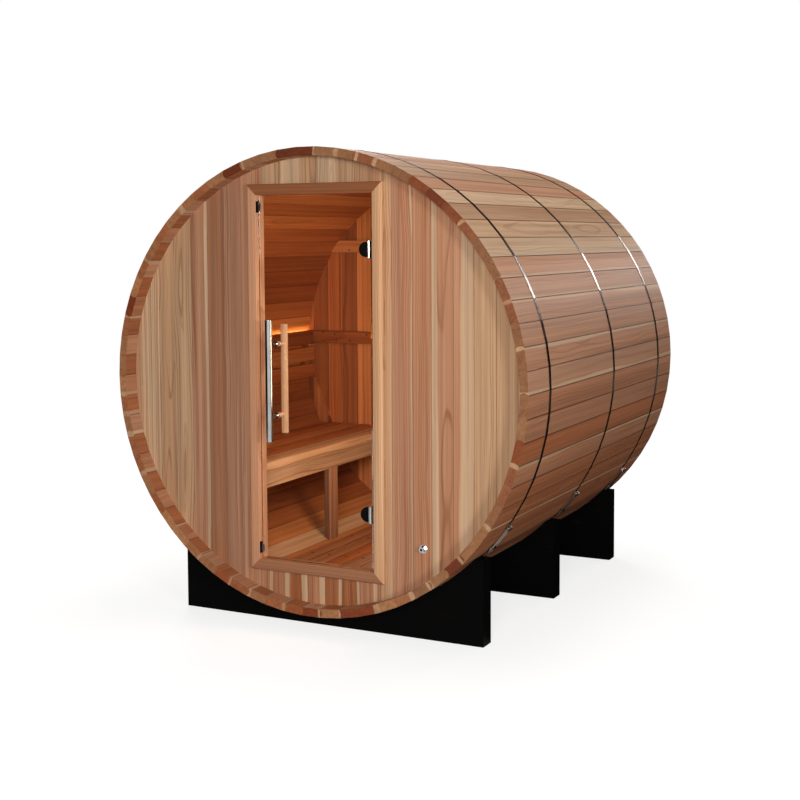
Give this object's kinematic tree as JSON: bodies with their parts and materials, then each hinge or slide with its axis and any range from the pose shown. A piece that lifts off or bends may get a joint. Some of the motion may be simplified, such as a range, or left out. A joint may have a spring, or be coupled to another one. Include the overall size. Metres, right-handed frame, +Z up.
{
  "type": "barrel sauna",
  "caption": "Lying barrel-shaped sauna of wooden staves held by steel bands, on low black cradles, with a hinged glass door, a bench, a backrest and a flat floor inside.",
  "frame": {"origin": "on the ground, under the middle of the barrel, at the middle of the middle cradle's foot", "axes": "+X to the right of someone facing the door, +Y from the door towards the back along the barrel, +Z up"},
  "size_m": [1.8036, 1.842, 1.8697],
  "materials": {
    "cedar_stave": "sawn and planed red cedar, unfinished",
    "cedar_wall": "planed red cedar boards, unfinished",
    "cedar_trim": "planed pale cedar, unfinished",
    "cedar_inside": "planed red cedar, warm",
    "door_glass": "clear toughened glass",
    "chrome": "polished",
    "steel": "bright rolled stainless steel",
    "black_metal": "satin black",
    "black_paint": "planks painted black",
    "light": "translucent cover over warm lamps"
  },
  "bodies": {
    "barrel": {"staves_top": "cedar_stave", "staves_upper_right": "cedar_stave", "staves_right": "cedar_stave", "staves_lower_right": "cedar_stave", "staves_bottom": "cedar_stave", "staves_lower_left": "cedar_stave", "staves_left": "cedar_stave", "staves_upper_left": "cedar_stave", "front_wall_left": "cedar_wall", "front_wall_right": "cedar_wall", "front_wall_over_door": "cedar_wall", "front_wall_under_door": "cedar_wall", "rear_wall": "cedar_wall", "door_jamb_left": "cedar_trim", "door_jamb_right": "cedar_trim", "door_head": "cedar_trim", "door_sill": "cedar_trim", "bench_seat": "cedar_inside", "bench_fascia": "cedar_inside", "bench_leg": "cedar_inside", "backrest_slats": "cedar_inside", "backrest_cleats": "cedar_inside", "backrest_ribs": "cedar_inside", "rear_wall_battens": "cedar_inside", "floor_boards": "cedar_inside", "floor_bearers": "cedar_inside", "hinge_leaves": "chrome", "cable_gland": "chrome", "front_band": "steel", "middle_band": "steel", "rear_band": "steel", "tensioner_bars": "steel", "tensioner_bolts": "steel", "door_catches": "black_metal", "front_cradle": "black_paint", "middle_cradle": "black_paint", "rear_cradle": "black_paint", "light_strip": "light"},
    "door": {"door_glass": "door_glass", "door_handle_outside": "chrome", "door_handle_inside": "cedar_trim", "hinge_clamps": "black_metal", "hinge_knuckles": "chrome", "catch_plates": "steel"}
  },
  "joints": [
    {"name": "door_hinge", "type": "hinge", "parent": "barrel", "child": "door", "pos_m": [0.243, -0.87, 0.979], "axis": [0, 0, 1], "range_deg": [0, 105]}
  ]
}
